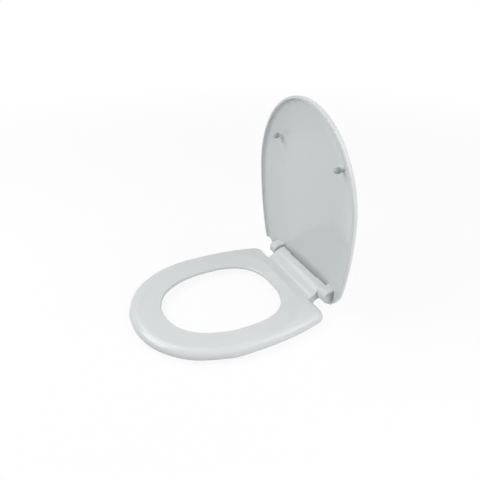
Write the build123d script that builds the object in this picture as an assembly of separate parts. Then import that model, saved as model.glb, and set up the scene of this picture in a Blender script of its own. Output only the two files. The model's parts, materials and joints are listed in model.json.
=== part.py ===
"""Toilet seat: a ring and a dished lid that turn on one hinge axis over two posts."""
import os
from math import acos, asin, cos, hypot, pi, sin, sqrt
from typing import NamedTuple

from build123d import *

os.makedirs("parts", exist_ok=True)

# Frame: the origin is midway between the two bolt holes, on the top of the bowl.
# X runs across the seat, the front of the seat is at minus Y, and Z is up. All sizes are in mm.


class Oval(NamedTuple):
    """A rounded outline with its own length and roundness to the front and to the rear."""
    half_width: float
    widest_y: float
    front: float
    front_power: float
    rear: float
    rear_power: float


# Fits
key_clearance = 0.05
running_clearance = 0.06
seat_clearance = 0.2
swing_clearance = 1.0

# Fixing and the height of the hinge axis
bolt_spacing = 155.0
bolt_hole_radius = 4.25
buffer_height = 8.0
seat_thickness = 20.0
seat_top = buffer_height + seat_thickness
hinge_rise = 6.0
hinge_height = seat_top + hinge_rise
hinge_back = 42.0
lid_open_angle = 88.0

# Outlines, placed from the hinge axis
seat_ahead = 206.0
opening_ahead = 190.8
seat_oval = Oval(178.0, hinge_back - seat_ahead, 200.7, 2.13, 301.3, 2.3)
opening_oval = Oval(112.0, hinge_back - opening_ahead, 146.5, 2.23, 116.0, 2.55)
lid_overhang = 3.5
lid_side_overhang = 7.5
lid_oval = Oval(
    half_width=seat_oval.half_width + lid_side_overhang,
    widest_y=seat_oval.widest_y,
    front=seat_oval.front + lid_overhang,
    front_power=2.0,
    rear=362.0,
    rear_power=2.0,
)

# Seat ring
seat_edge_radius = 14.0
seat_lower_radius = 5.5
seat_rear_edge = hinge_back - 27.0
seat_corner = 16.0
dish_drop = 6.0
dish_margin = 20.0
dish_rear_edge = hinge_back - 52.0
dish_rear_power = 3.2
opening_land = 6.0
opening_edge_radius = 4.0
lip_thickness = 8.0
lip_lower_radius = 3.0
seat_wall = 6.0
seat_roof = 5.0
rib_thickness = 2.6
lip_low = seat_top - dish_drop - lip_thickness
rib_low = lip_low

# Hinge posts and their bases
post_width = 24.0
post_offset = 2.0
post_inner_x = bolt_spacing / 2 - post_offset - post_width / 2
post_outer_x = post_inner_x + post_width
eye_radius = 8.7
flange_width = 28.0
flange_length = 42.0
flange_thickness = 7.0
flange_back = 2.0
gasket_thickness = 1.5
flange_top = gasket_thickness + flange_thickness
neck_front = 36.0
neck_rear = 24.0

# Tongue over the hinge
hood_inner_x = post_inner_x - swing_clearance
hood_outer_x = post_outer_x + swing_clearance
inner_cheek = 4.5
outer_cheek = 6.2
tongue_half_width = hood_outer_x + outer_cheek
tongue_wall = 2.8
tongue_arc_radius = 53.2
tongue_arc_back = 16.2
tongue_top = 15.3
tongue_blend = 20.0
tongue_end_radius = 9.0
tongue_lip = 10.4
centre_lip = 8.0
cheek_radius = 11.5
hood_clearance = 0.5
hood_skirt = 2.0
post_notch_low = flange_top + 3.5
post_notch_high = seat_top - 6.0

# Lid lugs
lug_inner_x = tongue_half_width + 2.9
lug_outer_x = lug_inner_x + 25.6
lug_start = (-20.7, 17.5)
lug_heading = -81.7
lug_bends = [(20.8, 12.0, 81.7), (5.3, 10.0, 55.3), (17.0, 6.0, 55.0), (10.5, 0.0, 0.0)]
lug_middle = (1.0, 6.0)
lug_edge_radius = 1.2
lug_pocket_depth = 2.5
lug_pocket_share = 0.78

# Lid, measured up from the hinge axis with the lid shut
lid_edge_low = 0.4 - hinge_rise
lid_edge_high = 4.5
lid_crown = 23.5
lid_slope_width = 56.0
lid_edge_radius = 7.0
lid_lower_radius = 2.0
lid_crown_radius = 240.0
lid_wall = 4.0
lid_rim_wall = 5.2
lid_inner_radius = 6.0
lid_rear_edge = 13.0
lid_corner_x = 110.5
lid_corner_radius = 40.0
lid_corner_turn = 54.0
lid_rear_wall = 5.0
lid_gate_radius = 18.8
lid_hollow_rear = 22.0
lid_hollow_x = 85.0
lid_hollow_corner = 70.0
lid_hollow_slope = 55.0

# Dampers, spindles and inserts
damper_radius = 5.6
damper_inner_x = post_inner_x + 2.1
damper_key_width = 2.4
damper_key_height = 1.2
spindle_radius = 3.9
spindle_flat = 2.9
spindle_inner_x = damper_inner_x + 3.4
insert_radius = 5.6
insert_flange_radius = 7.6
insert_flange = 1.2
lug_insert_radius = 7.0
lug_insert_depth = 15.0
spindle_outer_x = lug_inner_x + lug_insert_depth - 1.1

# Buffers under the ring: shares of the ring's half width and length, and the turn of the pad
seat_buffers = {
    "front": (0.648 * seat_oval.half_width, seat_oval.widest_y - 0.558 * seat_oval.front, 52.0),
    "rear": (0.714 * seat_oval.half_width, seat_oval.widest_y + 0.352 * seat_oval.rear, 101.0),
}
pad_length = 34.0
pad_width = 12.0
pad_recess = 3.0
pad_stem_radius = 3.0
pad_stem = 6.0
pad_boss_wall = 3.0

# Buffers under the lid, measured up from the hinge axis with the lid shut
lid_buffer_x = 0.632 * lid_oval.half_width
lid_buffer_y = lid_oval.widest_y - 0.458 * lid_oval.front
lid_buffer_tip = -hinge_rise - 1.2
lid_buffer_radius = 6.2
lid_boss_end = 3.5
lid_boss_radius = 4.8
lid_boss_foot = 12.0
lid_boss_root = 18.0
lid_stem_radius = 3.0
lid_stem = 7.0

hinge_line = Axis((0, hinge_back, hinge_height), (1, 0, 0))


def inset(oval, distance):
    """The same outline drawn in by a distance, or out by a negative one."""
    return oval._replace(
        half_width=oval.half_width - distance,
        front=oval.front - distance,
        rear=oval.rear - distance,
    )


def quarter_points(width, length, power, last=pi / 2, steps=6):
    """Points along one quarter of an outline, from its widest place to its end."""
    turns = [last * step / steps for step in range(steps + 1)]
    return [(width * max(cos(t), 0.0) ** (2 / power), length * sin(t) ** (2 / power)) for t in turns]


def flipped(points):
    """The same points on the other side of the middle, in the opposite order."""
    return [(-x, y, z) for x, y, z in reversed(points)]


def front_points(oval, z):
    """The right front quarter, from the tip of the front to the widest place."""
    quarter = quarter_points(oval.half_width, oval.front, oval.front_power)
    return [(x, oval.widest_y - y, z) for x, y in reversed(quarter)]


def oval_wire(oval, z):
    """The whole outline as four smooth quarters."""
    front = front_points(oval, z)
    quarter = quarter_points(oval.half_width, oval.rear, oval.rear_power)
    rear = [(x, oval.widest_y + y, z) for x, y in quarter]
    return Wire([
        Spline(*front, tangents=[(1, 0, 0), (0, 1, 0)]),
        Spline(*rear, tangents=[(0, 1, 0), (-1, 0, 0)]),
        Spline(*flipped(rear), tangents=[(-1, 0, 0), (0, -1, 0)]),
        Spline(*flipped(front), tangents=[(0, -1, 0), (1, 0, 0)]),
    ])


def cut_oval_wire(oval, z, rear_edge, corner, neck=None):
    """The outline with a straight rear edge and round corners, and with a neck if one is given."""
    front = front_points(oval, z)
    reach = rear_edge - corner - oval.widest_y
    last = asin((reach / oval.rear) ** (oval.rear_power / 2))
    quarter = quarter_points(oval.half_width, oval.rear, oval.rear_power, last, 5)
    x, y = quarter[-1]
    across = x ** (oval.rear_power - 1) / oval.half_width ** oval.rear_power
    along = y ** (oval.rear_power - 1) / oval.rear ** oval.rear_power
    across, along = across / hypot(across, along), along / hypot(across, along)
    side = [(x, oval.widest_y + y, z) for x, y in quarter]
    radius = corner / (1 - along)
    centre_x = side[-1][0] - radius * across
    centre_y = side[-1][1] - radius * along
    middle = hypot(across, along + 1)
    arc = [
        side[-1],
        (centre_x + radius * across / middle, centre_y + radius * (along + 1) / middle, z),
        (centre_x, rear_edge, z),
    ]
    edges = [
        Spline(*front, tangents=[(1, 0, 0), (0, 1, 0)]),
        Spline(*side, tangents=[(0, 1, 0), (-along, across, 0)]),
        ThreePointArc(*arc),
    ]
    if neck:
        half, bend = neck
        slant = bend * (1 - sqrt(0.5))
        hollow = [
            (half + bend, rear_edge, z),
            (half + slant, rear_edge + slant, z),
            (half, rear_edge + bend, z),
        ]
        edges += [
            Line(arc[-1], hollow[0]),
            ThreePointArc(*hollow),
            Line(hollow[-1], flipped(hollow)[0]),
            ThreePointArc(*flipped(hollow)),
            Line(flipped(hollow)[-1], flipped(arc)[0]),
        ]
    else:
        edges.append(Line(arc[-1], flipped(arc)[0]))
    edges += [
        ThreePointArc(*flipped(arc)),
        Spline(*flipped(side), tangents=[(-along, -across, 0), (0, -1, 0)]),
        Spline(*flipped(front), tangents=[(0, -1, 0), (1, 0, 0)]),
    ]
    return Wire(edges)


def upright(wire, height):
    """A straight-sided block on an outline."""
    return extrude(Face(wire), height, dir=(0, 0, 1))


def hinge_point(y, z, x=0.0):
    """A place given behind and above the hinge axis."""
    return (x, hinge_back + y, hinge_height + z)


def across_block(edges, start, end):
    """A profile seen from the side, run across from one place to another."""
    profile = Face(Wire(edges)).moved(Location((start, 0, 0)))
    return extrude(profile, end - start, dir=(1, 0, 0))


def rod(radius, start, end):
    """A round bar on the hinge axis."""
    bar = Cylinder(radius, end - start, rotation=(0, 90, 0))
    return Pos(*hinge_point(0, 0, (start + end) / 2)) * bar


def block(x, y, z):
    """A plain box from pairs of limits."""
    size = Box(x[1] - x[0], y[1] - y[0], z[1] - z[0])
    return Pos(sum(x) / 2, sum(y) / 2, sum(z) / 2) * size


def other_side(shape):
    """The same shape on the left."""
    return mirror(shape, about=Plane.YZ)


def both_sides(shape):
    """A shape on the right together with its mirror image on the left."""
    return [shape, other_side(shape)]


def seat_pad(place, length, width, low, high):
    """A round-ended upright block at one buffer's place, turned along the ring."""
    across, along, turn = place
    outline = SlotOverall(length, width)
    return Pos(across, along, low) * Rot(0, 0, turn) * extrude(outline, high - low)


def stem(place, radius, low, high):
    """A round upright bar at one buffer's place."""
    across, along, _ = place
    return Pos(across, along, (low + high) / 2) * Cylinder(radius, high - low)


def tongue_height(y, radius):
    """Height over the axis of an arc that shares the tongue's centre."""
    centre = tongue_top - tongue_arc_radius
    return centre + sqrt(radius ** 2 - (y - tongue_arc_back) ** 2)


def tongue_arc(start, end, radius):
    """The curve of the tongue's roof as seen from the side."""
    places = (start, (start + end) / 2, end)
    return ThreePointArc(*[hinge_point(y, tongue_height(y, radius)) for y in places])


def blend_places():
    """Three places on the hollow curve that runs the ring's top up into the tongue's roof."""
    level = -hinge_rise - 0.02
    rise = level + tongue_blend - tongue_top + tongue_arc_radius
    reach = tongue_arc_radius + tongue_blend
    turn = acos(rise / reach)
    start = tongue_arc_back - reach * sin(turn)
    turns = (0, turn / 2, turn)
    return [(start + tongue_blend * sin(t), level + tongue_blend * (1 - cos(t))) for t in turns]


def ring_blank():
    """The ring's outer form: rounded edge, dished top and the opening."""
    neck = (tongue_half_width, tongue_end_radius)
    outline = cut_oval_wire(seat_oval, buffer_height, seat_rear_edge, seat_corner, neck)
    ring = upright(outline, seat_thickness)
    ring = fillet(open_edges(ring.faces().sort_by(Axis.Z)[-1]), seat_edge_radius)
    ring = fillet(open_edges(ring.faces().sort_by(Axis.Z)[0]), seat_lower_radius)
    ring -= dish(0)
    ring -= upright(oval_wire(opening_oval, 0), seat_top * 2)
    ring -= upright(oval_wire(inset(opening_oval, -seat_wall - 1), 0), lip_low)
    ring = fillet(lip_edges(ring, seat_top - dish_drop), opening_edge_radius)
    return fillet(lip_edges(ring, lip_low), lip_lower_radius)


def open_edges(face):
    """The edges of a flat face, less the one that the tongue covers."""
    return [e for e in face.edges() if e.center().Y < seat_rear_edge + tongue_end_radius - 0.1]


def dish(depth):
    """What is taken off above the dished top, or above a surface that lies deeper by a distance."""
    edge = inset(seat_oval, dish_margin)._replace(
        rear=dish_rear_edge - seat_oval.widest_y,
        rear_power=dish_rear_power,
    )
    return Solid.make_loft([
        oval_wire(inset(opening_oval, -opening_land), seat_top - dish_drop - depth),
        oval_wire(edge, seat_top - 0.25 - depth),
        oval_wire(inset(edge, -6), seat_top + 0.5 - depth),
    ], True)


def lip_edges(ring, z):
    """The edges at one height on the wall of the opening."""
    return [e for e in level_edges(ring, z) if near_opening(e)]


def near_opening(edge):
    """True for an edge that lies on the wall of the opening."""
    place = edge @ 0.5
    y = place.Y - opening_oval.widest_y
    length = opening_oval.rear if y > 0 else opening_oval.front
    power = opening_oval.rear_power if y > 0 else opening_oval.front_power
    level = (abs(place.X) / opening_oval.half_width) ** power + (abs(y) / length) ** power
    return abs(level - 1) < 0.06


def ring_cavity():
    """The hollow under the ring, less the ribs and the buffer bosses that stand in it."""
    low, high = 0.0, seat_top - seat_roof
    outer = cut_oval_wire(inset(seat_oval, seat_wall), low, seat_rear_edge - seat_wall, seat_corner)
    cavity = upright(outer, high - low)
    cavity -= upright(oval_wire(inset(opening_oval, -seat_wall), low), high - low)
    middle = (0, opening_oval.widest_y, (rib_low + high) / 2)
    for turn in (20, 55, 90, 125, 160):
        cavity -= Pos(*middle) * Rot(0, 0, turn - 90) * Box(rib_thickness, 600, high - rib_low)
    for place in seat_buffers.values():
        boss = pad_boss_wall * 2
        for pillar in both_sides(seat_pad(place, pad_length + boss, pad_width + boss, low, high)):
            cavity -= pillar
    return cavity - dish(seat_roof)


def tongue():
    """The raised tongue: a solid profile that the hollows are cut from."""
    front = seat_rear_edge - hinge_back - 2
    foot = post_notch_low - hinge_height
    slant = cheek_radius * sqrt(0.5)
    cheek = [hinge_point(cheek_radius, 0), hinge_point(slant, -slant), hinge_point(0, -cheek_radius)]
    lip = tongue_height(tongue_lip, tongue_arc_radius)
    blend = blend_places()
    toe, level = blend[0]
    body = across_block([
        ThreePointArc(*[hinge_point(*place) for place in blend]),
        tongue_arc(blend[2][0], tongue_lip, tongue_arc_radius),
        Line(hinge_point(tongue_lip, lip), hinge_point(cheek_radius, 8)),
        Line(hinge_point(cheek_radius, 8), cheek[0]),
        ThreePointArc(*cheek),
        *Polyline(
            cheek[-1],
            hinge_point(front, foot),
            hinge_point(front, level - 3),
            hinge_point(toe, level - 3),
            hinge_point(toe, level),
        ).edges(),
    ], -tongue_half_width, tongue_half_width)
    ends = [e for e in body.edges() if e.geom_type == GeomType.CIRCLE and e.center().Z > hinge_height]
    return fillet(ends, 1.5)


def tongue_hollow(start, end, rear):
    """The space under the tongue's roof between two places, back to a rear wall."""
    inner = tongue_arc_radius - tongue_wall
    front = seat_rear_edge - hinge_back + 1.5
    far = 60
    return across_block([
        tongue_arc(front, rear, inner),
        *Polyline(
            hinge_point(rear, tongue_height(rear, inner)),
            hinge_point(rear, -far),
            hinge_point(front, -far),
            hinge_point(front, tongue_height(front, inner)),
        ).edges(),
    ], start, end)


def seat_ring():
    """The ring with its hollow underside, tongue, cheeks and holes for inserts and buffers."""
    ring = ring_blank() - ring_cavity()
    ring += tongue()
    centre = hood_inner_x - inner_cheek
    ring -= tongue_hollow(-centre, centre, centre_lip - tongue_wall)
    ring -= block((-centre, centre), (hinge_back + centre_lip, hinge_back + 40), (0, hinge_height * 2))
    hood = (hood_inner_x, hood_outer_x)
    rear = seat_rear_edge + 12
    for hollow in (
        tongue_hollow(*hood, eye_radius + hood_clearance),
        block(hood, (hinge_back, hinge_back + 40), (0, hinge_height - hood_skirt)),
        block(hood, (hinge_back - neck_front - 3, rear), (0, post_notch_high)),
        block((hood[0] - 1, hood[1] + 5), (flange_back - flange_length / 2 - 9, rear), (0, post_notch_low)),
    ):
        for cut in both_sides(hollow):
            ring -= cut
    for cut in both_sides(rod(insert_radius + key_clearance, hood_outer_x - 1, tongue_half_width + 1)):
        ring -= cut
    for place in seat_buffers.values():
        gap = seat_clearance * 2
        floor = buffer_height + pad_recess
        recess = seat_pad(place, pad_length + gap, pad_width + gap, 0, floor)
        recess += stem(place, pad_stem_radius + key_clearance, 0, floor + pad_stem + 0.5)
        for cut in both_sides(recess):
            ring -= cut
    return ring


def seat_buffer(place):
    """One rubber pad with a stem that plugs into the ring."""
    top = buffer_height + pad_recess - key_clearance
    pad = seat_pad(place, pad_length, pad_width, 0, top)
    pad = fillet(pad.faces().sort_by(Axis.Z)[0].edges(), 1.5)
    return pad + stem(place, pad_stem_radius, top - 1, top + pad_stem)


def half_ellipse(oval, length, z, way):
    """Half an ellipse as wide as an outline, to the front or to the rear."""
    plane = Plane((0, oval.widest_y, z), x_dir=(0, way, 0), z_dir=(0, 0, 1))
    return Edge.make_ellipse(length, oval.half_width, plane, -90, 90)


def ellipse_wire(oval, z):
    """An outline of two half ellipses that meet at the widest line."""
    return Wire([half_ellipse(oval, oval.front, z, -1), half_ellipse(oval, oval.rear, z, 1)])


def rounded_form(steps, radii):
    """A dished form from insets and heights, with the edge at each level rounded."""
    levels = [ellipse_wire(inset(lid_oval, step), hinge_height + rise) for step, rise in steps]
    form = Solid.make_loft(levels, True)
    for (_, rise), radius in zip(reversed(steps), reversed(radii)):
        if radius:
            form = fillet(level_edges(form, hinge_height + rise), radius)
    return form


def level_edges(solid, z):
    """The edges that lie at one height."""
    return [e for e in solid.edges() if max(abs((e @ t).Z - z) for t in (0, 0.4)) < 0.001]


def lid_plan(rear, corner_x, radius, turn, z):
    """An outline with a straight rear edge and round corners that run on straight after a turn."""
    centre_y = hinge_back + rear - radius
    turns = [pi / 180 * turn * share for share in (0, 0.5, 1)]
    arc = [(corner_x + radius * sin(t), centre_y + radius * cos(t), z) for t in turns]
    run = lid_oval.half_width * 2
    end = (arc[2][0] + run * cos(turns[2]), arc[2][1] - run * sin(turns[2]), z)
    half = [*arc, end, (end[0], lid_oval.widest_y - run * 2, z)]
    other = flipped(half)
    return Wire([
        ThreePointArc(*arc),
        *Polyline(*half[2:], *other[:3]).edges(),
        ThreePointArc(*other[2:]),
        Line(other[-1], half[0]),
    ])


def lid_buffer_place():
    """Where the right-hand lid buffer's line crosses the height of the hinge axis, with the lid shut."""
    return Pos(lid_buffer_x, lid_buffer_y, hinge_height)


def lid_shell():
    """The lid's dished shell, drawn shut, with its buffer bosses and the gap that clears the tongue."""
    outer_steps = ((0, lid_edge_low), (0, lid_edge_high), (lid_slope_width, lid_crown))
    outer = rounded_form(outer_steps, (lid_lower_radius, lid_edge_radius, lid_crown_radius))
    inner_low = lid_edge_high - lid_wall * 0.6
    inner_steps = (
        (lid_rim_wall, lid_edge_low - 4),
        (lid_rim_wall + 0.4, inner_low),
        (lid_slope_width + 2, lid_crown - lid_wall),
    )
    inner = rounded_form(inner_steps, (0, lid_inner_radius, lid_crown_radius))
    plan = lid_plan(lid_rear_edge, lid_corner_x, lid_corner_radius, lid_corner_turn, 0)
    shell = (outer & upright(plan, hinge_height * 3)) - (inner & lid_hollow())
    for side in both_sides(lid_buffer_place() * lid_boss()):
        shell += side & outer
    return shell - rod(lid_gate_radius, -lug_inner_x, lug_inner_x)


def lid_hollow():
    """The reach of the lid's hollow: sloped rear corners, and room for the tongue between the lugs."""
    crown = lid_crown - lid_wall
    slope = lid_hollow_slope
    heights = (crown + 2, lid_edge_low - 4)
    form = Solid.make_loft([
        hollow_plan(slope * (crown - rise) / crown, hinge_height + rise)
        for rise in heights
    ], True)
    rear = (hinge_back - lid_hollow_rear * 2, hinge_back + lid_rear_edge - lid_rear_wall)
    return form + block((-lug_inner_x, lug_inner_x), rear, (0, hinge_height * 3))


def hollow_plan(grow, z):
    """The outline of the lid's hollow at the crown, let out to the rear by a distance."""
    return lid_plan(grow - lid_hollow_rear, lid_hollow_x, lid_hollow_corner + grow, 65, z)


def lid_boss():
    """A boss that flares from its end to its root, about an upright line."""
    end = (lid_boss_radius, 0, lid_boss_end)
    foot = (lid_boss_foot, 0, lid_boss_root)
    flare = (lid_boss_radius * 0.8 + lid_boss_foot * 0.2, 0, lid_boss_end * 0.38 + lid_boss_root * 0.62)
    outline = Wire([
        ThreePointArc(end, flare, foot),
        *Polyline(foot, (0, 0, lid_boss_root), (0, 0, lid_boss_end), end).edges(),
    ])
    return revolve(Face(outline), Axis.Z)


def bent_path(start, heading, bends):
    """Straight runs in a side view about the axis, each with a bend after it, with turns in degrees."""
    edges = []
    y, z = start
    for run, radius, turn in bends:
        along = heading * pi / 180
        corner = (y + run * cos(along), z + run * sin(along))
        edges.append(Line(hinge_point(y, z), hinge_point(*corner)))
        middle = (corner[0] - radius * sin(along), corner[1] + radius * cos(along))
        angles = [along + turn * share * pi / 180 for share in (0, 0.5, 1)]
        bend = [(middle[0] + radius * sin(a), middle[1] - radius * cos(a)) for a in angles]
        if turn:
            edges.append(ThreePointArc(*[hinge_point(*place) for place in bend]))
        y, z = bend[2]
        heading += turn
    return edges + [Line(hinge_point(y, z), hinge_point(*start))]


def lug_block(share, start, end):
    """A hinge lug's form, drawn shut and at a share of its size: a round end that widens up to the lid."""
    corner = [middle + (place - middle) * share for place, middle in zip(lug_start, lug_middle)]
    bends = [(run * share, radius * share, turn) for run, radius, turn in lug_bends]
    return across_block(bent_path(corner, lug_heading, bends), start, end)


def lid():
    """The lid, drawn shut and then swung open to its stop."""
    body = lid_shell()
    stem_hole = Cylinder(lid_stem_radius + key_clearance, lid_stem * 2)
    hole = lid_buffer_place() * Pos(0, 0, lid_boss_end) * stem_hole
    lug = lug_block(1, lug_inner_x, lug_outer_x)
    rim = lug.faces().sort_by(Axis.X)[-1].edges().sort_by(Axis.Z)[:-1]
    for side in both_sides(fillet(rim, lug_edge_radius)):
        body += side
    pocket = lug_block(lug_pocket_share, lug_outer_x - lug_pocket_depth, lug_outer_x + 1)
    seat_end = lug_inner_x + lug_insert_depth + key_clearance
    seat = rod(lug_insert_radius + key_clearance, lug_inner_x - 1, seat_end)
    for cut in (hole, pocket, seat):
        for side in both_sides(cut):
            body -= side
    return opened(body)


def opened(shape):
    """A shape drawn with the lid shut, swung with the lid to its open stop."""
    return shape.rotate(hinge_line, -lid_open_angle)


def lid_buffer():
    """One soft round tip with a stem that plugs into the lid's boss."""
    top = lid_boss_end - key_clearance
    body = Pos(0, 0, (top + lid_buffer_tip) / 2) * Cylinder(lid_buffer_radius, top - lid_buffer_tip)
    body = fillet(body.edges().sort_by(Axis.Z)[0], lid_buffer_radius * 0.8)
    body += Pos(0, 0, top + lid_stem / 2 - 1) * Cylinder(lid_stem_radius, lid_stem)
    return opened(lid_buffer_place() * body)


def base_block(low, high):
    """The outline of a post's base, with its bolt hole."""
    base = extrude(RectangleRounded(flange_width, flange_length, 6), high - low)
    hole = Pos(0, -flange_back, 0) * Cylinder(bolt_hole_radius, 100)
    return Pos(bolt_spacing / 2, flange_back, low) * (base - hole)


def hinge_post():
    """One post: a bolted base, a neck that leans back and an eye for the damper."""
    foot = flange_top - hinge_height
    post = base_block(gasket_thickness, flange_top)
    outline = [(-0.9, 0.44), (-neck_front / eye_radius, foot / eye_radius),
               (-neck_rear / eye_radius, foot / eye_radius), (-0.66, -0.72)]
    corners = [hinge_point(y * eye_radius, z * eye_radius) for y, z in outline]
    post += across_block(Polyline(*corners, close=True).edges(), post_inner_x, post_outer_x)
    post += rod(eye_radius, post_inner_x, post_outer_x)
    post -= damper_form(key_clearance, damper_inner_x - 0.1, post_outer_x + 1)
    return post


def damper_form(clearance, start, end):
    """A damper's round body with the key that stops it turning."""
    key = block(
        (start, end),
        (hinge_back - damper_key_width / 2 - clearance, hinge_back + damper_key_width / 2 + clearance),
        (hinge_height - damper_radius - damper_key_height - clearance, hinge_height),
    )
    return rod(damper_radius + clearance, start, end) + key


def damper():
    """One damper, closed at its inner end, with the bore that its spindle turns in."""
    body = damper_form(0, damper_inner_x, post_outer_x - 0.1)
    return body - rod(spindle_radius + running_clearance, spindle_inner_x - 0.3, post_outer_x + 1)


def keyed_rod(clearance, start, end):
    """The part of a spindle that has two flats."""
    wide = spindle_radius + 1
    flat = spindle_flat + clearance
    depth = (hinge_back - wide, hinge_back + wide)
    slab = block((start, end), depth, (hinge_height - flat, hinge_height + flat))
    return rod(spindle_radius + clearance, start, end) & slab


def seat_spindle():
    """The left damper's spindle, drawn on the right: keyed to the ring, with a plain end for the lid."""
    cheek_end = tongue_half_width + insert_flange
    return (
        rod(spindle_radius, spindle_inner_x, hood_outer_x)
        + keyed_rod(0, hood_outer_x, cheek_end)
        + rod(spindle_flat, cheek_end, spindle_outer_x)
    )


def lid_spindle():
    """The right damper's spindle: plain in the ring and keyed to the lid."""
    start = lug_inner_x - 0.4
    return rod(spindle_radius, spindle_inner_x, start) + keyed_rod(0, start, spindle_outer_x)


def cheek_insert(bore):
    """An insert for the tongue's end wall, with a flange that faces the lug."""
    sleeve = rod(insert_radius, hood_outer_x, tongue_half_width)
    return sleeve + rod(insert_flange_radius, tongue_half_width, tongue_half_width + insert_flange) - bore


def lug_insert(bore):
    """An insert for a lid lug, open towards the ring."""
    return rod(lug_insert_radius, lug_inner_x, lug_inner_x + lug_insert_depth) - bore


through = (hood_outer_x - 1, lug_inner_x - 1)
blind = (lug_inner_x - 1, spindle_outer_x + 0.4)
parts = {
    "seat_ring": seat_ring(),
    "lid": lid(),
    "lid_buffer_right": lid_buffer(),
    "hinge_post_right": hinge_post(),
    "base_gasket_right": base_block(0, gasket_thickness),
    "damper_right": damper(),
    "lid_spindle": lid_spindle(),
    "ring_bush": cheek_insert(rod(spindle_radius + running_clearance, *through)),
    "lid_key_insert": lug_insert(keyed_rod(key_clearance, *blind)),
    "seat_spindle": other_side(seat_spindle()),
    "ring_key_insert": other_side(cheek_insert(keyed_rod(key_clearance, *through))),
    "lid_bush": other_side(lug_insert(rod(spindle_flat + running_clearance, *blind))),
}
for name in ("lid_buffer", "hinge_post", "base_gasket", "damper"):
    parts[name + "_left"] = other_side(parts[name + "_right"])
for end, place in seat_buffers.items():
    parts["seat_buffer_" + end + "_right"] = seat_buffer(place)
    parts["seat_buffer_" + end + "_left"] = other_side(seat_buffer(place))
for name, shape in parts.items():
    export_step(shape, "parts/" + name + ".step")
    print(name, "solids", len(shape.solids()), "valid", shape.is_valid, "volume", round(shape.volume))
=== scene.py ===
# %% [markdown]
# # A toilet seat with its lid up
# The seat is a hollow moulded ring and a dished lid that turn on one hinge line over two posts.
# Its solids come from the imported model, which already has every shape in its right place.
# This lesson gives them their finishes, and then sets up the light and the camera.

# %% Load the solids
import json

import bpy
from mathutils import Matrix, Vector

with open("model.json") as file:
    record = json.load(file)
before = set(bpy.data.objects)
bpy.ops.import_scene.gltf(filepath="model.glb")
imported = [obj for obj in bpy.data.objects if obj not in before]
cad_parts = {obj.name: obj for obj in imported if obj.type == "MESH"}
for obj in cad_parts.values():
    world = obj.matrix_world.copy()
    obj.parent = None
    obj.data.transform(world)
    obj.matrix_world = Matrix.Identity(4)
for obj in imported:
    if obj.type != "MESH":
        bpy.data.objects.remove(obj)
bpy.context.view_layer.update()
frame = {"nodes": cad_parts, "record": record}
nodes = frame["nodes"]

# %% [markdown]
# ## A short way to write shaders
# A finish is a set of small sums, such as a base gloss plus a little noise.
# Blender wants one Math node for each step of such a sum, which is slow to read in a script.
# The first class below wraps a socket so that Python's own signs add those nodes.
# The second holds the nodes of one material, or of the sky, and adds any other node through a single method.

# %% Shader helpers
class Signal:
    """A socket whose value can be used in Python sums."""

    def __init__(self, finish, socket):
        self.finish = finish
        self.socket = socket

    def math(self, operation, first, second):
        return self.finish.node("ShaderNodeMath", {"operation": operation}, {0: first, 1: second})

    def __add__(self, other):
        return self.math("ADD", self, other)

    def __mul__(self, other):
        return self.math("MULTIPLY", self, other)

    __radd__ = __add__
    __rmul__ = __mul__


class Finish:
    """The nodes of one material, or of the sky."""

    def __init__(self, owner):
        self.owner = owner
        self.owner.use_nodes = True
        self.tree = owner.node_tree
        self.tree.nodes.clear()

    def node(self, kind, settings=None, inputs=None, output=0):
        """Adds a node, sets it up, fills or links its sockets and gives back one output."""
        made = self.tree.nodes.new(kind)
        for name, value in (settings or {}).items():
            setattr(made, name, value)
        for name, value in (inputs or {}).items():
            if isinstance(value, Signal):
                self.tree.links.new(value.socket, made.inputs[name])
            else:
                made.inputs[name].default_value = value
        return Signal(self, made.outputs[output]) if made.outputs else None

    def place(self):
        """Where a point of the piece is, in metres."""
        return self.node("ShaderNodeTexCoord", output="Object")

    def noise(self, scale, detail=2.0):
        """Cloudy noise fixed to the piece; the scale counts its blotches in a metre."""
        sockets = {"Vector": self.place(), "Scale": scale, "Detail": detail}
        return self.node("ShaderNodeTexNoise", None, sockets, "Fac")

    def mix(self, amount, first, second):
        """A colour that runs from the first to the second."""
        return self.node("ShaderNodeMix", {"data_type": "RGBA"}, {0: amount, 6: first, 7: second}, 2)

    def bump(self, height, depth):
        """A normal that follows a small height, with the depth in metres."""
        return self.node("ShaderNodeBump", None, {"Height": height, "Strength": 1.0, "Distance": depth})

    def surface(self, inputs):
        """Ends the material in a Principled shader and says what was made."""
        shader = self.node("ShaderNodeBsdfPrincipled", None, inputs)
        self.node("ShaderNodeOutputMaterial", None, {"Surface": shader})
        print("finish:", self.owner.name, "nodes:", len(self.tree.nodes))
        return self.owner


def new_finish(name):
    """A finish on a new material."""
    return Finish(bpy.data.materials.new(name))


# %% [markdown]
# ## White gloss
# The ring and the lid are pressed from one hard white resin and come out of a polished mould.
# Such a skin is never perfectly even: it has a long, faint ripple, and its gloss is duller in places.
# A painted picture could show that, but noise fixed to the piece needs no unwrapping and has no seams.
# A wide noise moves the colour by a few percent, and a finer one works on the gloss and the ripple.

# %% Make the white gloss
def white_gloss():
    finish = new_finish("white_gloss")
    clouds = finish.noise(7.0)
    ripple = finish.noise(60.0, 3.0)
    grain = finish.noise(900.0, 1.0)
    polish, uneven = 0.1, 0.08
    grain_share, depth = 0.04, 0.00012
    return finish.surface({
        "Base Color": finish.mix(clouds, (0.685, 0.712, 0.711, 1), (0.71, 0.737, 0.736, 1)),
        "Roughness": polish + uneven * ripple,
        "IOR": 1.52,
        "Normal": finish.bump(ripple + grain_share * grain, depth),
    })


finishes = {"white_gloss": white_gloss()}

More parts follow.
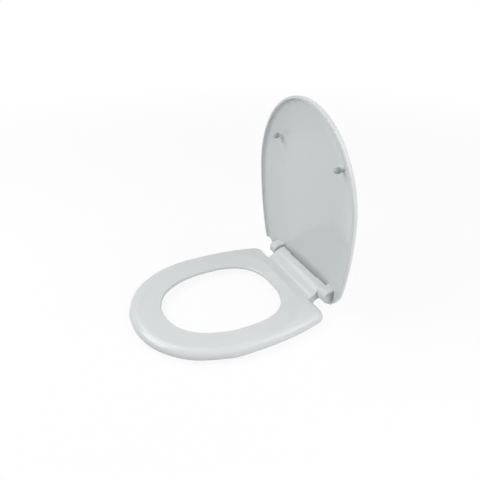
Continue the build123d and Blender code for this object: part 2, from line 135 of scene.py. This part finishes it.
# %% [markdown]
# ## Soft grey rubber
# The buffers are small soft plugs, and the gaskets are thin sheets of the same stuff.
# Their skin is smooth enough for a soft highlight, but fine pores spread it, and handling marks it unevenly.
# Modelled pores would take far too many faces, so a bump only tilts the light where they would be.

# %% Make the rubber
def grey_rubber():
    finish = new_finish("grey_rubber")
    clouds = finish.noise(140.0, 3.0)
    pores = finish.noise(2600.0)
    sheen, uneven, depth = 0.2, 0.2, 0.00006
    return finish.surface({
        "Base Color": finish.mix(clouds, (0.4, 0.44, 0.45, 1), (0.46, 0.5, 0.51, 1)),
        "Roughness": sheen + uneven * pores,
        "IOR": 1.5,
        "Normal": finish.bump(pores, depth),
    })


finishes["grey_rubber"] = grey_rubber()

# %% [markdown]
# ## Satin mouldings
# The posts, dampers and inserts come from moulds with a fine spark-eroded texture.
# Three materials written out would repeat the same nodes.
# So one function makes all three, with two colours and a gloss of its own for each.

# %% Make the satin plastics
def satin_plastic(name, dark, light, dull):
    finish = new_finish(name)
    clouds = finish.noise(45.0, 3.0)
    grain = finish.noise(1500.0)
    uneven, depth = 0.15, 0.00008
    return finish.surface({
        "Base Color": finish.mix(clouds, (*dark, 1), (*light, 1)),
        "Roughness": dull + uneven * grain,
        "IOR": 1.5,
        "Normal": finish.bump(grain, depth),
    })


satin_looks = {
    "post_plastic": {"dark": (0.57, 0.595, 0.595), "light": (0.63, 0.655, 0.655), "dull": 0.38},
    "damper_plastic": {"dark": (0.07, 0.072, 0.076), "light": (0.1, 0.102, 0.108), "dull": 0.42},
    "insert_plastic": {"dark": (0.58, 0.58, 0.55), "light": (0.64, 0.64, 0.61), "dull": 0.4},
}
for name, look in satin_looks.items():
    finishes[name] = satin_plastic(name, **look)

# %% [markdown]
# ## Turned steel
# A spindle is turned on a lathe, which leaves fine rings round it, one after the other along its length.
# Both spindles lie across the seat, so a wave in that direction gives the rings.
# The wave's own distortion breaks their evenness.
# A shader with stretched highlights could show them too, but rings in the gloss and the bump can be baked.

# %% Make the steel
def spindle_steel():
    finish = new_finish("spindle_steel")
    sockets = {"Vector": finish.place(), "Scale": 900.0, "Distortion": 1.5, "Detail": 2.0}
    rings = finish.node("ShaderNodeTexWave", {"bands_direction": "X"}, sockets, "Fac")
    polish, uneven, depth = 0.25, 0.15, 0.00003
    return finish.surface({
        "Base Color": finish.mix(rings, (0.52, 0.52, 0.53, 1), (0.66, 0.66, 0.67, 1)),
        "Metallic": 1.0,
        "Roughness": polish + uneven * rings,
        "Normal": finish.bump(rings, depth),
    })


finishes["spindle_steel"] = spindle_steel()

# %% [markdown]
# ## Put the finishes on
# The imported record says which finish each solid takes.
# So the script asks the record rather than listing the solids again.

# %% Give every solid its finish
for part in frame["record"]["subparts"]:
    solid = nodes[part["node"]]
    solid.data.materials.clear()
    solid.data.materials.append(finishes[part["material_slot"]])
print("dressed solids:", len(nodes), "finishes:", len(finishes))

# %% [markdown]
# ## Floor
# The seat stands on a pale floor that runs to white, as it would in a light tent.
# The camera and any reflection see the floor as mostly white near the seat and fully white farther off.
# The rest is the floor's own shading, which keeps the seat's shadow.
# Light that bounces up to the seat meets a darker floor, so the seat's underside stays in shade.

# %% Lay the floor
WHITE = (1, 1, 1, 1)
floor_side = 20.0
# Between these two distances the floor's share of white rises to one
near, far = 0.5, 2.5
white_near = 0.9


def seen_directly(finish):
    """One for a ray from the camera, or for one that a mirror or glass passes on."""
    path = finish.node("ShaderNodeLightPath").socket.node
    names = ("Is Camera Ray", "Is Glossy Ray", "Is Transmission Ray")
    camera, glossy, clear = [Signal(finish, path.outputs[name]) for name in names]
    return camera + glossy + clear


def pale_floor():
    finish = new_finish("pale_floor")
    seen = seen_directly(finish)
    bounced = finish.node("ShaderNodeBsdfDiffuse", None, {"Color": (0.5, 0.51, 0.52, 1)})
    shaded = finish.node("ShaderNodeBsdfDiffuse", None, {"Color": (0.95, 0.95, 0.95, 1)})
    ground = finish.node("ShaderNodeMixShader", None, {0: seen, 1: bounced, 2: shaded})
    white = finish.node("ShaderNodeEmission", None, {"Color": WHITE, "Strength": 1.0})
    away = finish.node("ShaderNodeVectorMath", {"operation": "LENGTH"}, {0: finish.place()}, "Value")
    limits = {"Value": away, "From Min": near, "From Max": far, "To Min": white_near, "To Max": 1.0}
    share = finish.node("ShaderNodeMapRange", {"interpolation_type": "SMOOTHSTEP"}, limits)
    shown = finish.node("ShaderNodeMixShader", None, {0: share * seen, 1: ground, 2: white})
    finish.node("ShaderNodeOutputMaterial", None, {"Surface": shown})
    return finish.owner


bpy.ops.mesh.primitive_plane_add(size=floor_side, location=(0, 0, 0))
floor = bpy.context.object
floor.name = "floor"
floor.data.materials.append(pale_floor())
print("floor:", tuple(round(side, 1) for side in floor.dimensions))

# %% [markdown]
# ## Sky
# A weak, even sky fills the shadows a little from all sides.
# The camera and any reflection see white in its place, so the background is white and the gloss shows it.

# %% Light the sky
sky = Finish(bpy.data.worlds.new("sky"))
even = sky.node("ShaderNodeBackground", None, {"Color": (0.957, 0.981, 1.0, 1), "Strength": 0.24})
white = sky.node("ShaderNodeBackground", None, {"Color": WHITE, "Strength": 1.0})
shown = sky.node("ShaderNodeMixShader", None, {0: seen_directly(sky), 1: even, 2: white})
sky.node("ShaderNodeOutputWorld", None, {"Surface": shown})
bpy.context.scene.world = sky.owner
print("sky nodes:", len(sky.tree.nodes))

# %% [markdown]
# ## Lamps
# Four large soft lamps stand round the seat, at a level that shows the colours about as they are written.
# The one behind the lid on the right is partly hidden by it, so the ring grows darker towards the hinge.
# A low one on the right brings out the lid's outer rim, and two on the left open the lid's hollow side.
# Their faint tints differ: what faces up looks neutral, and the lid's hollow a little greener.
# From behind, the low lamp's mirror image would wash out the lid's edge, so no reflection shows that lamp.

# %% Hang the lamps
seat_middle = Vector((0.0, -0.12, 0.12))
lamp_width = 1.2


def soft_lamp(name, place, power, tint):
    """A square soft lamp that faces the middle of the seat."""
    lamp = bpy.data.lights.new(name, "AREA")
    lamp.size = lamp_width
    lamp.energy = power
    lamp.color = tint
    holder = bpy.data.objects.new(name, lamp)
    holder.location = place
    aim = seat_middle - Vector(place)
    holder.rotation_euler = aim.to_track_quat("-Z", "Y").to_euler()
    bpy.context.scene.collection.objects.link(holder)
    return holder


soft_lamp("lamp_back", place=(0.8, 1.0, 1.4), power=8.7, tint=(1.0, 0.95, 0.975))
low_lamp = soft_lamp("lamp_side", place=(1.4, 0.1, 0.65), power=10.5, tint=(1.0, 0.985, 0.996))
low_lamp.visible_glossy = False
soft_lamp("lamp_left", place=(-1.0, -0.6, 1.8), power=8.4, tint=(1.0, 0.986, 1.0))
soft_lamp("lamp_front", place=(-0.4, -1.5, 1.2), power=16.4, tint=(0.987, 1.0, 0.998))
print("lamps:", [lamp.name for lamp in bpy.data.lights])

# %% [markdown]
# ## Camera
# The photograph was taken from above, in front and to the right.
# So the lid's hollow side and the ring's top both show.
# The camera's place and its lens came from lining up the solids' outlines with the picture.

# %% Place the camera
view_place = (0.7852, -0.4863, 0.6650)
view_line = Vector((-0.7809, 0.3693, -0.5038))
camera = bpy.data.cameras.new("camera")
camera.lens = 35.3
camera.sensor_width = 36.0
tripod = bpy.data.objects.new("camera", camera)
tripod.location = view_place
tripod.rotation_euler = view_line.to_track_quat("-Z", "Y").to_euler()
bpy.context.scene.collection.objects.link(tripod)
bpy.context.scene.camera = tripod
bpy.context.scene.view_settings.view_transform = "Standard"
print("camera:", [round(value, 3) for value in tripod.location], "lens:", round(camera.lens, 1))
